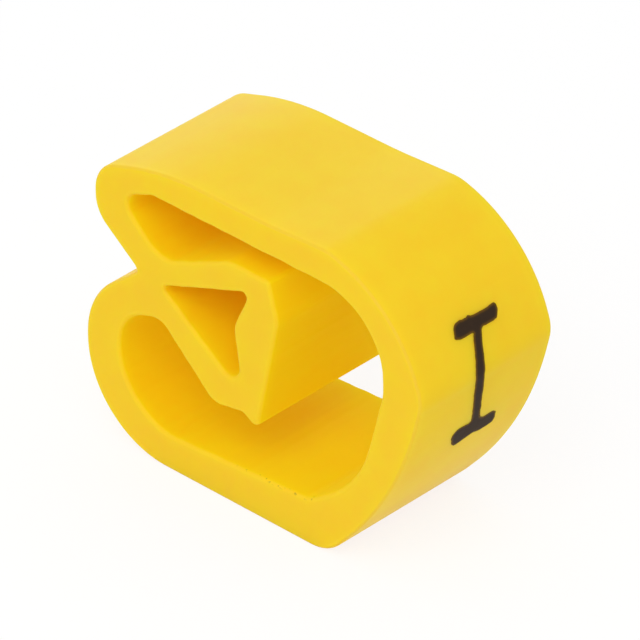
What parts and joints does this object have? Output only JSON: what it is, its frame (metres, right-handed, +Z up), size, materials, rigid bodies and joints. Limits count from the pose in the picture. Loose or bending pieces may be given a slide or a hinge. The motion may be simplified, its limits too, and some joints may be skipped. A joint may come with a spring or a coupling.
{
  "type": "cable marker",
  "caption": "Slip-on cable marker cut from a soft yellow PVC profile: a dented ring with a hollow fold inside that grips the cable, and a wide wall printed with a plain index mark.",
  "frame": {"origin": "middle of the part's bounding box, on the flat base it rests on", "axes": "+X from the folded side to the printed wall, +Y along the cable, +Z up from the flat base to the flat top"},
  "size_m": [0.0072, 0.003, 0.0056],
  "materials": {
    "soft_pvc": "satin",
    "print_ink": "matte"
  },
  "bodies": {
    "root": {"marker_body": "soft_pvc"}
  },
  "joints": []
}
